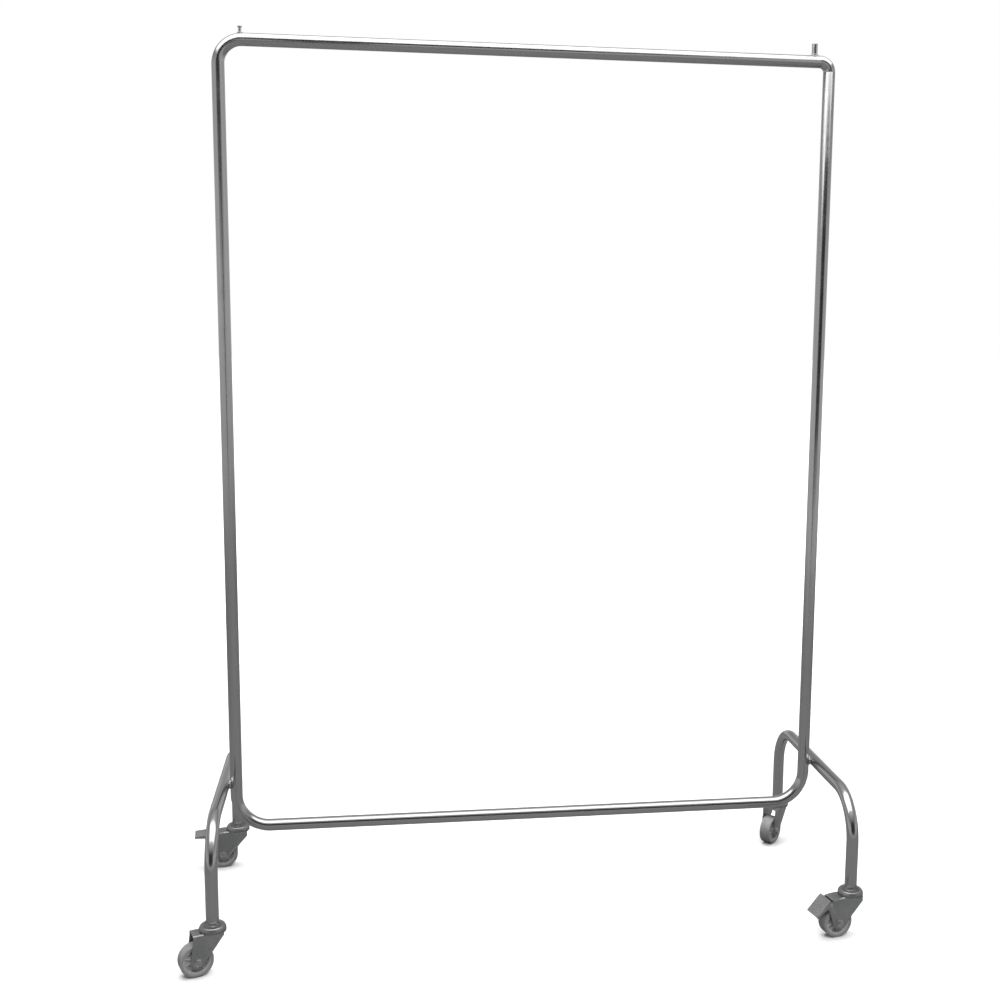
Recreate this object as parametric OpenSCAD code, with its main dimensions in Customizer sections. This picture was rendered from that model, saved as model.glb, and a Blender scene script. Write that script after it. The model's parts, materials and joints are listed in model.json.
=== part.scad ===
// Rolling clothes rack: a bent-tube loop welded between two leg hoops, on four stem casters.
// Origin on the floor at the middle of the rack. +X right along the rail, -Y front, +Z up.

/* [Loop] */
// Outer diameter of the loop and leg tubes
tube_d = 25; // [22:0.5:28]
// Wall thickness of the tubes
tube_wall = 1.5; // [1.2:0.1:2]
// Distance between the two uprights, centre to centre
loop_w = 1240; // [900:10:1500]
// Distance between the top and bottom rails, centre to centre
loop_h = 1605; // [1200:5:1700]
// Bend radius of the top left corner, on the tube's centre line
top_bend_r = 48; // [40:1:80]
// Radius of the tight elbow that closes the loop at the top right
elbow_r = 21; // [20:0.5:40]
// Bend radius of the two bottom corners
bottom_bend_r = 70; // [50:1:110]

/* [Leg hoops] */
// Distance between the front and rear legs, centre to centre
leg_spread = 500; // [400:5:600]
// Height of the hoop's top over the bottom rail, centre to centre
hoop_rise = 94; // [85:1:140]
// Height of the bottom rail's centre above the leg ends
leg_drop = 90; // [70:1:150]
// Bend radius of the hoop shoulders
hoop_bend_r = 91; // [60:1:110]
// Gap that the weld bridges between upright and hoop
weld_gap = 0.2; // [0.1:0.05:0.5]

/* [Pegs] */
// Distance of the left peg from the left upright
left_peg_inset = 43; // [30:1:80]
// Distance of the right peg from the right upright
right_peg_inset = 33; // [30:1:80]
// Diameter of the right peg
right_peg_d = 12; // [8:0.5:14]
// Height of the right peg above the rail's top
right_peg_h = 24; // [15:1:40]
// Diameter of the left peg's shank
left_peg_d = 6; // [5:0.5:10]
// Height of the left peg above the rail's top
left_peg_h = 13; // [10:1:30]

/* [Casters] */
// Height of a caster, from the floor to the leg end
caster_h = 102; // [100:1:104]
// Tread diameter of the wheels
wheel_d = 65; // [60:1:68]
// Width of the tread
wheel_w = 26; // [20:1:27]
// Distance of the axle behind the swivel axis
trail = 34; // [32:1:38]
// Direction of the front left wheel, from +X
front_left_swivel = 200; // [0:1:359]
// Direction of the rear left wheel, from +X
rear_left_swivel = 186; // [0:1:359]
// Direction of the front right wheel, from +X
front_right_swivel = 192; // [0:1:359]
// Direction of the rear right wheel, from +X
rear_right_swivel = 226; // [0:1:359]
// How far the rear left brake pedal is pressed
rear_left_press = 0; // [0:1:42]
// How far the front right brake pedal is pressed
front_right_press = 42; // [0:1:42]

/* [Hidden] */
$fn = 96;

// One row for each caster: name, side, end, swivel angle, has a brake, pedal angle
CASTERS = [
    ["front_left", -1, -1, front_left_swivel, false, 0],
    ["rear_left", -1, 1, rear_left_swivel, true, rear_left_press],
    ["front_right", 1, -1, front_right_swivel, true, front_right_press],
    ["rear_right", 1, 1, rear_right_swivel, false, 0]
];
FRAME_NODES = [
    "loop_tube", "closing_elbow", "elbow_sleeves", "left_leg_hoop", "right_leg_hoop",
    "left_hoop_weld", "right_hoop_weld", "left_peg", "right_peg", "peg_welds",
    "leg_plugs", "lower_races", "king_nuts"
];
CASTER_PIECES = [
    "stem", "top_race", "balls", "fork", "axle_bolt", "axle_nut", "axle_sleeve",
    "wheel_core", "tread"
];
BRAKE_PIECES = ["brake_pedal", "pedal_pin"];

// Loop and hoops
bore_d = tube_d - 2 * tube_wall;
upright_x = loop_w / 2;
bottom_z = caster_h + leg_drop;
top_z = bottom_z + loop_h;
rail_top_z = top_z + tube_d / 2;
hoop_x = upright_x + tube_d + weld_gap;
hoop_z = bottom_z + hoop_rise;
leg_y = leg_spread / 2;
seam = 0.05;
past = 1;

// Welds
weld_r = 7;
weld_bead_r = 3.6;
peg_collar = 1.6;

// Foot of the right peg, a little thicker than its shank, up to just above its weld
peg_foot_d = right_peg_d + 0.4;
peg_foot_h = 2.5;

// Swivel head, heights above the floor
crown_top = 86.5;
sheet = 2.5;
crown_under = crown_top - sheet;
head_r = 26;
head_top_r = 23;
race_land_r = 22.3;
race_land = 1;
king_r = 4;
running = 0.06;
ball_r = 2.4;
ball_pitch_r = 18;
ball_count = 21;
ball_z = crown_top + race_land + 1.4;
low_ball_r = 1.7;
low_ball_pitch_r = 8.5;
low_ball_count = 14;
low_ball_z = crown_under - 0.9;
ball_gap = 0.05;
race_top = 96.5;
race_floor = 91;
raceway_r = 13;
lip_in_r = 17.5;
hex_af = 13;
hex_r = hex_af / 2 / cos(30);
stem_r = 5;
stem_up = 24;
plug_h = 28;
low_race_top = low_ball_z - 0.9;
low_race_h = 2.6;
king_nut_h = 5.5;
king_end = low_race_top - low_race_h - king_nut_h - 1.5;

// Fork and wheel
axle_z = wheel_d / 2;
axle_r = 4;
fork_in = 15;
fork_out = fork_in + sheet;
fork_bend = 5;
rear = [-18, 79];
brake_rear = [-20, 74];
nose = [41, 76];
ramp_x = 28;
ramp_end = 50;
ramp_drop = 3.5;
fork_reach = 80;
fold_over = 0.2;
eye_r = 13;
sleeve_r = 6;
hub_half = 14.5;
hub_r = 10;
rim_r = wheel_d / 2 - 6;
nut_h = 6;
head_h = 5;
thread_past = 2;

// Brake pedal, in its raised position
pivot = [58, 75.5];
pin_r = 2.5;
fork_ear_r = 5.8;
pedal_ear_r = 5.5;
pedal_half = 20;
pedal_sheet = 2;
pedal_start = [51.5, 84.8];
pedal_end = [96, 81.3];
pedal_lip = 4;
cheek_foot = [76, 76];
full_press = 42;
shoe_gap = 0.4;
shoe_t = 2.5;
shoe_half = 11;
shoe_root = [66, 82.5];
shoe_from = 50;
shoe_to = 63;

// How far a straight edge runs inside the round it meets
bite = 0.05;

// Where the straight line from point p touches a circle at c with radius r, on the given side
function touch(p, c, r, side) =
    let (d = c - p, dist = norm(d), a = acos(r / dist) * side, back = atan2(-d[1], -d[0]))
    c + r * [cos(back + a), sin(back + a)];

// Turns a point in the caster's side view about another one
function turned(p, about, a) =
    about + [
        cos(a) * (p[0] - about[0]) - sin(a) * (p[1] - about[1]),
        sin(a) * (p[0] - about[0]) + cos(a) * (p[1] - about[1])
    ];

// ---- tube stock ----

module ring_section(d, hole) {
    difference() {
        circle(d = d);
        if (hole > 0) circle(d = hole);
    }
}

// Straight tube along +Z
module straight(length, d = tube_d, hole = bore_d) {
    linear_extrude(height = length) ring_section(d, hole);
}

// Quarter bend in the XY plane, from angle "from" on
module bend(r, from, d = tube_d, hole = bore_d) {
    rotate([0, 0, from]) rotate_extrude(angle = 90) translate([r, 0]) ring_section(d, hole);
}

// The loop in the XY plane, without its closing elbow; hole = 0 gives its solid outline
module loop_path(hole) {
    left = -upright_x;
    translate([left + top_bend_r, top_z, 0])
        rotate([0, 90, 0]) straight(loop_w - top_bend_r - elbow_r, hole = hole);
    translate([left + top_bend_r, top_z - top_bend_r, 0]) bend(top_bend_r, 90, hole = hole);
    translate([left, bottom_z + bottom_bend_r, 0])
        rotate([-90, 0, 0]) straight(loop_h - top_bend_r - bottom_bend_r, hole = hole);
    translate([left + bottom_bend_r, bottom_z + bottom_bend_r, 0])
        bend(bottom_bend_r, 180, hole = hole);
    translate([left + bottom_bend_r, bottom_z, 0])
        rotate([0, 90, 0]) straight(loop_w - 2 * bottom_bend_r, hole = hole);
    translate([upright_x - bottom_bend_r, bottom_z + bottom_bend_r, 0])
        bend(bottom_bend_r, 270, hole = hole);
    translate([upright_x, bottom_z + bottom_bend_r, 0])
        rotate([-90, 0, 0]) straight(loop_h - elbow_r - bottom_bend_r, hole = hole);
}

module loop_tube() {
    color("silver") rotate([90, 0, 0]) loop_path(bore_d);
}

module closing_elbow() {
    color("silver") translate([upright_x - elbow_r, 0, top_z - elbow_r])
        rotate([90, 0, 0]) bend(elbow_r, 0);
}

// Two plain sleeves that line up the elbow inside the loop tube, one on each leg of it
module elbow_sleeves() {
    sleeve_h = 25;
    color("gray") {
        translate([upright_x - elbow_r - sleeve_h, 0, top_z])
            rotate([0, 90, 0]) straight(sleeve_h, bore_d - 2 * seam, bore_d - 4);
        translate([upright_x, 0, top_z - elbow_r - sleeve_h])
            straight(sleeve_h, bore_d - 2 * seam, bore_d - 4);
    }
}

// One inverted-U leg hoop; side is -1 for left and 1 for right
module leg_hoop(side) {
    shoulder = leg_y - hoop_bend_r;
    leg_h = hoop_z - hoop_bend_r - caster_h;
    color("silver") translate([side * hoop_x, 0, 0]) rotate([90, 0, 90]) {
        for (y = [-leg_y, leg_y])
            translate([y, caster_h, 0]) rotate([-90, 0, 0]) straight(leg_h);
        translate([-shoulder, hoop_z - hoop_bend_r, 0]) bend(hoop_bend_r, 90);
        translate([shoulder, hoop_z - hoop_bend_r, 0]) bend(hoop_bend_r, 0);
        translate([-shoulder, hoop_z, 0]) rotate([0, 90, 0]) straight(2 * shoulder);
    }
}

// Fillet of weld metal round the spot where a hoop crosses its upright
module hoop_weld(side) {
    color("dimgray") difference() {
        translate([side * (upright_x + tube_d / 2 + weld_gap / 2), 0, hoop_z])
            rotate([0, 90, 0]) rotate_extrude() translate([weld_r, 0]) circle(r = weld_bead_r, $fn = 48);
        translate([side * upright_x, 0, hoop_z - 20]) cylinder(d = tube_d, h = 40);
        translate([side * hoop_x, 20, hoop_z]) rotate([90, 0, 0]) cylinder(d = tube_d, h = 40);
    }
}

// ---- pegs on the top rail ----

module rail_outline() {
    rotate([90, 0, 0]) loop_path(0);
}

module left_peg() {
    head_d = left_peg_d + 3;
    head_t = 3;
    color("gray") difference() {
        translate([-upright_x + left_peg_inset, 0, top_z]) {
            cylinder(d = left_peg_d, h = tube_d / 2 + left_peg_h - head_t);
            translate([0, 0, tube_d / 2 + left_peg_h - head_t]) cylinder(d = head_d, h = head_t);
        }
        rail_outline();
    }
}

module right_peg() {
    edge = 1;
    rise = tube_d / 2 + right_peg_h;
    foot = tube_d / 2 + peg_foot_h;
    color("silver") difference() {
        translate([upright_x - right_peg_inset, 0, top_z]) rotate_extrude()
            polygon([
                [0, 0], [peg_foot_d / 2, 0], [peg_foot_d / 2, foot], [right_peg_d / 2, foot],
                [right_peg_d / 2, rise - edge], [right_peg_d / 2 - edge, rise], [0, rise]
            ]);
        rail_outline();
    }
}

// Weld collars round the feet of both pegs
module peg_weld(x, d) {
    foot = tube_d / 2 - 2.5;
    difference() {
        translate([x, 0, top_z + foot])
            cylinder(r1 = d / 2 + 2 * peg_collar, r2 = d / 2 + 0.4, h = 2 * peg_collar + 1);
        translate([x, 0, top_z]) cylinder(d = d, h = tube_d);
        rail_outline();
    }
}

module peg_welds() {
    color("dimgray") {
        peg_weld(-upright_x + left_peg_inset, left_peg_d);
        peg_weld(upright_x - right_peg_inset, peg_foot_d);
    }
}

// ---- caster pieces, each drawn with the swivel axis on Z and the wheel towards +X ----

module at_caster(c) {
    translate([c[1] * hoop_x, c[2] * leg_y, 0]) rotate([0, 0, c[3]]) children();
}

// Lays a side-view outline out across the caster, from -half to half
module across(half) {
    rotate([90, 0, 0]) translate([0, 0, -half]) linear_extrude(height = 2 * half) children();
}

// Cylinder across the caster, from y = low to y = high
module cross_bar(x, z, r, low, high, sides = 0) {
    translate([x, high, z]) rotate([90, 0, 0])
        cylinder(r = r, h = high - low, $fn = sides > 0 ? sides : $fn);
}

// Tapped plug pressed into a leg end
module leg_plug() {
    translate([0, 0, caster_h]) straight(plug_h, bore_d - 2 * seam, 2 * (stem_r + seam));
}

module leg_plugs() {
    color("gray") for (c = CASTERS) at_caster(c) leg_plug();
}

// Stem, its hexagon shoulder and the king pin below it, turned from one bar
module stem(c) {
    color("lightgray") at_caster(c) {
        translate([0, 0, caster_h - past]) cylinder(r = stem_r, h = stem_up + past);
        translate([0, 0, race_floor]) cylinder(r = hex_r, h = caster_h - race_floor, $fn = 6);
        translate([0, 0, king_end]) cylinder(r = king_r, h = race_floor - king_end + past);
    }
}

// Upper race: a dished cap with a ball groove below, fixed under the stem's shoulder
module top_race(c) {
    skirt_z = crown_top + 0.7;
    land_z = crown_top + race_land + 1;
    over_balls = ball_z + 1.4;
    color("silver") at_caster(c) difference() {
        rotate_extrude() polygon([
            [king_r + seam, land_z],
            [raceway_r, land_z],
            [raceway_r, over_balls],
            [race_land_r + 0.7, over_balls],
            [race_land_r + 0.7, skirt_z],
            [head_r, skirt_z],
            [head_r, race_floor],
            [head_top_r, race_top],
            [lip_in_r + 1, race_top],
            [lip_in_r, race_top - 0.6],
            [raceway_r, race_floor],
            [king_r + seam, race_floor]
        ]);
        ball_groove(ball_pitch_r, ball_r, ball_z);
    }
}

module ball_groove(pitch_r, r, z) {
    translate([0, 0, z]) rotate_extrude() translate([pitch_r, 0]) circle(r = r + ball_gap, $fn = 48);
}

module ball_ring(count, pitch_r, r, z) {
    for (i = [0 : count - 1])
        rotate([0, 0, i * 360 / count]) translate([pitch_r, 0, z]) sphere(r = r, $fn = 32);
}

module balls(c) {
    color("lightgray") at_caster(c) {
        ball_ring(ball_count, ball_pitch_r, ball_r, ball_z);
        ball_ring(low_ball_count, low_ball_pitch_r, low_ball_r, low_ball_z);
    }
}

module lower_race() {
    difference() {
        translate([0, 0, low_race_top - low_race_h]) straight(low_race_h, 24, 2 * (king_r + seam));
        ball_groove(low_ball_pitch_r, low_ball_r, low_ball_z);
    }
}

module lower_races() {
    color("gray") for (c = CASTERS) at_caster(c) lower_race();
}

module king_nut() {
    translate([0, 0, low_race_top - low_race_h - king_nut_h]) difference() {
        cylinder(r = hex_r, h = king_nut_h, $fn = 6);
        translate([0, 0, -past]) cylinder(r = king_r + seam, h = king_nut_h + 2 * past);
    }
}

module king_nuts() {
    color("gray") for (c = CASTERS) at_caster(c) king_nut();
}

// Side view of the fork: slanted rear edge, round eye at the axle, nose over the wheel.
// On a braked caster the crown slopes down past the head, and ends in two ears for the pedal.
module fork_side(brake) {
    eye = [trail, axle_z];
    ear_top = pivot[1] + fork_ear_r - bite;
    back = brake ? brake_rear : rear;
    front = brake ? pivot + (fork_ear_r - bite) * [cos(20), -sin(20)] : nose;
    top = brake
        ? [
            pivot, [pivot[0], ear_top], [ramp_end, ear_top],
            [ramp_end, crown_top - ramp_drop], [ramp_x, crown_top]
        ]
        : [[nose[0], crown_top]];
    difference() {
        union() {
            polygon(concat(
                [[back[0], crown_top], back, touch(back, eye, eye_r - bite, 1), eye],
                [touch(front, eye, eye_r - bite, -1), front],
                top
            ));
            translate(eye) circle(r = eye_r);
            if (brake) translate(pivot) circle(r = fork_ear_r);
        }
        translate(eye) circle(r = axle_r + seam);
        if (brake) translate(pivot) circle(r = pin_r + seam);
    }
}

// Side view of the space under the crown, open above past the crown's end
module fork_space_side(brake) {
    over = brake
        ? [
            [fork_reach, caster_h], [ramp_end, caster_h],
            [ramp_end, crown_under - ramp_drop], [ramp_x, crown_under]
        ]
        : [[fork_reach, crown_under]];
    polygon(concat([[-fork_reach, -past], [fork_reach, -past]], over, [[-fork_reach, crown_under]]));
}

// End view with rounded shoulders, drawn out along the caster
module arch_along(half, top, r) {
    translate([-fork_reach - past, 0, 0]) rotate([90, 0, 90])
        linear_extrude(height = 2 * (fork_reach + past)) {
            translate([-half, -2 * past]) square([2 * half, top - r + 2 * past]);
            translate([-half + r, -2 * past]) square([2 * (half - r), top + 2 * past]);
            for (s = [-1, 1]) translate([s * (half - r), top - r]) circle(r = r);
        }
}

// The folded sheet; both arches stand a little over the crown, which cuts their tops flat
module fork_sheet(brake) {
    difference() {
        intersection() {
            arch_along(fork_out, crown_top + fold_over, fork_bend);
            across(fork_out + past) fork_side(brake);
        }
        intersection() {
            arch_along(fork_in, crown_under + fold_over, fork_bend - sheet);
            across(fork_out + past) fork_space_side(brake);
        }
    }
}

module fork(c) {
    color("silver") at_caster(c) difference() {
        union() {
            fork_sheet(c[4]);
            translate([0, 0, crown_under]) cylinder(r = head_r, h = sheet);
            translate([0, 0, crown_top]) cylinder(r = race_land_r, h = race_land);
        }
        translate([0, 0, crown_under - past]) cylinder(r = king_r + running, h = 10);
        ball_groove(ball_pitch_r, ball_r, ball_z);
        ball_groove(low_ball_pitch_r, low_ball_r, low_ball_z);
    }
}

module axle_bolt(c) {
    color("lightgray") at_caster(c) {
        cross_bar(trail, axle_z, axle_r, -fork_out - nut_h - thread_past, fork_out + past);
        cross_bar(trail, axle_z, hex_r, fork_out, fork_out + head_h, 6);
    }
}

module axle_nut(c) {
    color("lightgray") at_caster(c) difference() {
        cross_bar(trail, axle_z, hex_r, -fork_out - nut_h, -fork_out, 6);
        cross_bar(trail, axle_z, axle_r + seam, -fork_out - nut_h - past, -fork_out + past);
    }
}

module axle_sleeve(c) {
    color("gray") at_caster(c) difference() {
        cross_bar(trail, axle_z, sleeve_r, -fork_in, fork_in);
        cross_bar(trail, axle_z, axle_r + seam, -fork_in - past, fork_in + past);
    }
}

module wheel_turned() {
    translate([trail, 0, axle_z]) rotate([90, 0, 0]) rotate_extrude() children();
}

// Moulded core: hub, thin web and rim
module wheel_core(c) {
    web = 4;
    rim_half = wheel_w / 2 - 1.5;
    color("gainsboro") at_caster(c) wheel_turned() polygon([
        [sleeve_r + running, -hub_half], [hub_r, -hub_half], [hub_r + 1.5, -web],
        [rim_r - 4, -web], [rim_r - 2.5, -rim_half], [rim_r, -rim_half],
        [rim_r, rim_half], [rim_r - 2.5, rim_half], [rim_r - 4, web],
        [hub_r + 1.5, web], [hub_r, hub_half], [sleeve_r + running, hub_half]
    ]);
}

// Soft tyre moulded round the rim, with rounded shoulders
module tread(c) {
    half = wheel_w / 2;
    shoulder = 4;
    color("lightgray") at_caster(c) wheel_turned() difference() {
        union() {
            translate([rim_r, -half]) square([wheel_d / 2 - rim_r - shoulder, wheel_w]);
            translate([rim_r, -half + shoulder])
                square([wheel_d / 2 - rim_r, wheel_w - 2 * shoulder]);
            for (s = [-1, 1]) translate([wheel_d / 2 - shoulder, s * (half - shoulder)])
                circle(r = shoulder, $fn = 48);
        }
        translate([rim_r - 10, -wheel_w]) square([10, 2 * wheel_w]);
    }
}

// ---- brake ----

// Turns a pedal drawn in its raised position down about its pin
module pressed(angle) {
    translate([pivot[0], 0, pivot[1]]) rotate([0, angle, 0])
        translate([-pivot[0], 0, -pivot[1]]) children();
}

// Side view of the pedal's plate with its turned-down lip
module pedal_plate_side() {
    along = (pedal_end - pedal_start) / norm(pedal_end - pedal_start);
    down = [along[1], -along[0]];
    polygon([
        pedal_start, pedal_end, pedal_end + pedal_lip * down,
        pedal_end + pedal_lip * down - pedal_sheet * along,
        pedal_end + pedal_sheet * down - pedal_sheet * along,
        pedal_start + pedal_sheet * down
    ]);
}

// Side view of the two cheeks that carry the pin
module pedal_cheek_side() {
    difference() {
        union() {
            polygon([
                pedal_start, pedal_end, pedal_end + [0, -pedal_lip], cheek_foot,
                touch(cheek_foot, pivot, pedal_ear_r, -1), pivot,
                touch(pedal_start, pivot, pedal_ear_r, 1)
            ]);
            translate(pivot) circle(r = pedal_ear_r);
        }
        translate(pivot) circle(r = pin_r + running);
    }
}

// Tongue that the pedal drives against the tyre, drawn where it sits when fully pressed
module shoe_side() {
    eye = [trail, axle_z];
    near = wheel_d / 2 + shoe_gap;
    root = turned(shoe_root, pivot, -full_press);
    foot = eye + (near + shoe_t / 2) * [cos(shoe_from), sin(shoe_from)];
    aim = (root - foot) / norm(root - foot);
    side = shoe_t / 2 * [aim[1], -aim[0]];
    difference() {
        union() {
            polygon([root - side, root + side, foot + side, foot - side]);
            intersection() {
                translate(eye) circle(r = near + shoe_t);
                polygon([
                    eye, eye + wheel_d * [cos(shoe_from), sin(shoe_from)],
                    eye + wheel_d * [cos(shoe_to), sin(shoe_to)]
                ]);
            }
        }
        translate(eye) circle(r = near);
    }
}

module brake_pedal(c) {
    color("silver") at_caster(c) pressed(c[5]) {
        across(pedal_half) pedal_plate_side();
        for (s = [-1, 1]) translate([0, s * (pedal_half - pedal_sheet / 2), 0])
            across(pedal_sheet / 2) pedal_cheek_side();
        pressed(-full_press) across(shoe_half) shoe_side();
    }
}

// Rivet that the pedal turns on, with a formed head at each end
module pedal_pin(c) {
    shank = pedal_half + 0.3;
    head_t = 1.5;
    color("gray") at_caster(c) {
        cross_bar(pivot[0], pivot[1], pin_r, -shank, shank);
        cross_bar(pivot[0], pivot[1], pedal_ear_r - 1, shank, shank + head_t);
        cross_bar(pivot[0], pivot[1], pedal_ear_r - 1, -shank - head_t, -shank);
    }
}

// ---- what is drawn ----

loop_tube();
closing_elbow();
elbow_sleeves();
leg_hoop(-1);  // left_leg_hoop
leg_hoop(1);  // right_leg_hoop
hoop_weld(-1);  // left_hoop_weld
hoop_weld(1);  // right_hoop_weld
left_peg();
right_peg();
peg_welds();
leg_plugs();
lower_races();
king_nuts();
for (c = CASTERS) {
    stem(c);
    top_race(c);
    balls(c);
    fork(c);
    axle_bolt(c);
    axle_nut(c);
    axle_sleeve(c);
    wheel_core(c);
    tread(c);
    if (c[4]) {
        brake_pedal(c);
        pedal_pin(c);
    }
}
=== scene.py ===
"""Bends, turns, folds and moulds the visible pieces of a rolling clothes rack."""

import json
import math

import bmesh
import bpy
from bpy.props import FloatProperty, FloatVectorProperty, IntProperty, PointerProperty
from mathutils import Matrix, Vector, noise

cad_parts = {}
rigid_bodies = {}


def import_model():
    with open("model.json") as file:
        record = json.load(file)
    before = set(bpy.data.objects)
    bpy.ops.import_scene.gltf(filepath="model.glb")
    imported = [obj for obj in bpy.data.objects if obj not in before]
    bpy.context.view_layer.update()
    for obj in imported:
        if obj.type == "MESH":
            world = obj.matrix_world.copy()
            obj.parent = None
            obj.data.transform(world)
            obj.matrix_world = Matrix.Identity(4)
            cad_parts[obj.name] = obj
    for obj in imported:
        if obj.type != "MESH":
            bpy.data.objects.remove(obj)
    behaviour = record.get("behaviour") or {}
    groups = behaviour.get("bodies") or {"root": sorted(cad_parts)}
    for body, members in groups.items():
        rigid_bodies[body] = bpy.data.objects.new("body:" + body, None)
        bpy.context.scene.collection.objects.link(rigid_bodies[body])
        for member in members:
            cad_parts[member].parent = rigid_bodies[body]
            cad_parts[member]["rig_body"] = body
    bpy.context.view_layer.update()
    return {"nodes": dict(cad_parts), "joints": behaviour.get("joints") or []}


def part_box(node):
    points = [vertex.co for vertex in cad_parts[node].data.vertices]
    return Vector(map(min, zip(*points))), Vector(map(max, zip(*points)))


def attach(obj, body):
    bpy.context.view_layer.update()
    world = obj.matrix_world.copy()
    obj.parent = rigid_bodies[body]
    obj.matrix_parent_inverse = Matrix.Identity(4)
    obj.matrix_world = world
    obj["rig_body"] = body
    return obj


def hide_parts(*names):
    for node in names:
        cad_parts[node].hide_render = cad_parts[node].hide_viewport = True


bl_info = {
    "name": "Rolling Clothes Rack",
    "version": (1, 0, 0),
    "blender": (4, 5, 0),
    "location": "3D View > Sidebar > Clothes Rack",
    "description": "Builds the pieces of a chromed clothes rack on four swivel casters",
    "category": "Object",
}

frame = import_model()
NODES = frame["nodes"]

MM = 0.001
TAU = 2 * math.pi
MICRON = 0.000001
RUN = "run"  # UV layer: u goes round a piece, v along it in metres
TINT = {"subtype": "COLOR", "min": 0, "max": 1}


def joint(name):
    """The record's joint of that name."""
    return next(j for j in frame["joints"] if j["name"] == name)


# ---- sizes read from the frame ----

LOOP_LOW, LOOP_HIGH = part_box("loop_tube")
TUBE_R = (LOOP_HIGH.y - LOOP_LOW.y) / 2
UPRIGHT_X = LOOP_HIGH.x - TUBE_R
TOP_Z = LOOP_HIGH.z - TUBE_R
BOTTOM_Z = LOOP_LOW.z + TUBE_R
HOOP_LOW, HOOP_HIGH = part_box("right_leg_hoop")
HOOP_X = (HOOP_LOW.x + HOOP_HIGH.x) / 2
HOOP_Z = HOOP_HIGH.z - TUBE_R
LEG_Y = HOOP_HIGH.y - TUBE_R
LEG_END = HOOP_LOW.z
WELD_X = (UPRIGHT_X + HOOP_X) / 2
LEFT_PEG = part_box("left_peg")
RIGHT_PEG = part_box("right_peg")

# ---- sizes of stock pieces, in millimetres ----

HEX_FLATS = 13.0
AXLE_PIN_R = 4.0
CHEEK = 17.5  # from the middle of a fork to the outside of its sheet
PEG_SHANKS = {"left": 3.0, "right": 6.0}
PEG_FEET = {"left": 3.0, "right": 6.2}
LEFT_PEG_HEAD_R = 4.5

# ---- studio ----

CAMERA_AT = (-0.330855, -2.721063, 1.287135)
CAMERA_TURN = (81.8912, -0.6080, -8.3507)
CAMERA_SHIFT = (-0.0648, -0.0060)
# Greys that reflections see, as (height, grey): height is 0 straight down and 1 straight up.
WALL_GREYS = ((0.0, 0.45), (0.5, 0.62), (0.62, 0.52), (0.72, 0.32), (0.85, 0.45), (1.0, 0.6))
FRONT_GREYS = (
    (0.0, 0.45),
    (0.5, 0.62),
    (0.52, 0.45),
    (0.55, 0.03),
    (0.72, 0.03),
    (0.79, 0.35),
    (0.88, 0.6),
    (1.0, 0.6),
)

CASTERS = ("front_left", "rear_left", "front_right", "rear_right")
BRAKED = ("rear_left", "front_right")


def caster_frame(caster):
    """Places a piece drawn in millimetres with the swivel axis on Z and the wheel towards +X."""
    swivel = Vector(joint(caster + "_swivel_turn")["pos_m"])
    axle = Vector(joint(caster + "_wheel_spin")["pos_m"])
    turn = math.atan2(axle.y - swivel.y, axle.x - swivel.x)
    at_floor = Matrix.Translation((swivel.x, swivel.y, 0))
    return at_floor @ Matrix.Rotation(turn, 4, "Z") @ Matrix.Scale(MM, 4)


def caster_sizes():
    """Trail and axle height in millimetres."""
    swivel = Vector(joint("front_left_swivel_turn")["pos_m"])
    axle = Vector(joint("front_left_wheel_spin")["pos_m"])
    return math.hypot(axle.x - swivel.x, axle.y - swivel.y) / MM, axle.z / MM


TRAIL, AXLE_Z = caster_sizes()


# ---- settings ----


class RackSizes(bpy.types.PropertyGroup):
    """Sizes of the visible pieces that the frame doesn't give."""

    tube_wall: FloatProperty(
        name="Tube wall",
        description="Wall thickness of the loop and hoop tubes",
        default=0.0015,
        unit="LENGTH",
        precision=5,
    )
    top_bend: FloatProperty(
        name="Top bend",
        description="Bend radius of the top left corner, on the tube's centre line",
        default=0.048,
        unit="LENGTH",
    )
    elbow_bend: FloatProperty(
        name="Elbow bend",
        description="Bend radius of the closing elbow at the top right",
        default=0.021,
        unit="LENGTH",
    )
    bottom_bend: FloatProperty(
        name="Bottom bends",
        description="Bend radius of the two bottom corners",
        default=0.070,
        unit="LENGTH",
    )
    hoop_bend: FloatProperty(
        name="Hoop shoulders",
        description="Bend radius of the leg hoops",
        default=0.091,
        unit="LENGTH",
    )
    bend_flattening: FloatProperty(
        name="Bend flattening",
        description="How much a bend squeezes the tube towards its inside",
        default=0.035,
        min=0,
        max=0.1,
        subtype="FACTOR",
    )
    cut_edge: FloatProperty(
        name="Cut edge",
        description="Rounding of the tubes' cut ends",
        default=0.0004,
        unit="LENGTH",
        precision=5,
    )
    bead_ripples: IntProperty(
        name="Bead ripples",
        description="Ripples round each hoop weld",
        default=17,
        min=6,
        max=40,
    )
    pressed_edge: FloatProperty(
        name="Pressed edge",
        description="Rounding of the edges of pressed sheet pieces",
        default=0.0006,
        unit="LENGTH",
        precision=5,
    )
    thread_pitch: FloatProperty(
        name="Thread pitch",
        description="Pitch of the axle bolts' thread",
        default=0.00125,
        unit="LENGTH",
        precision=5,
    )


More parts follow.
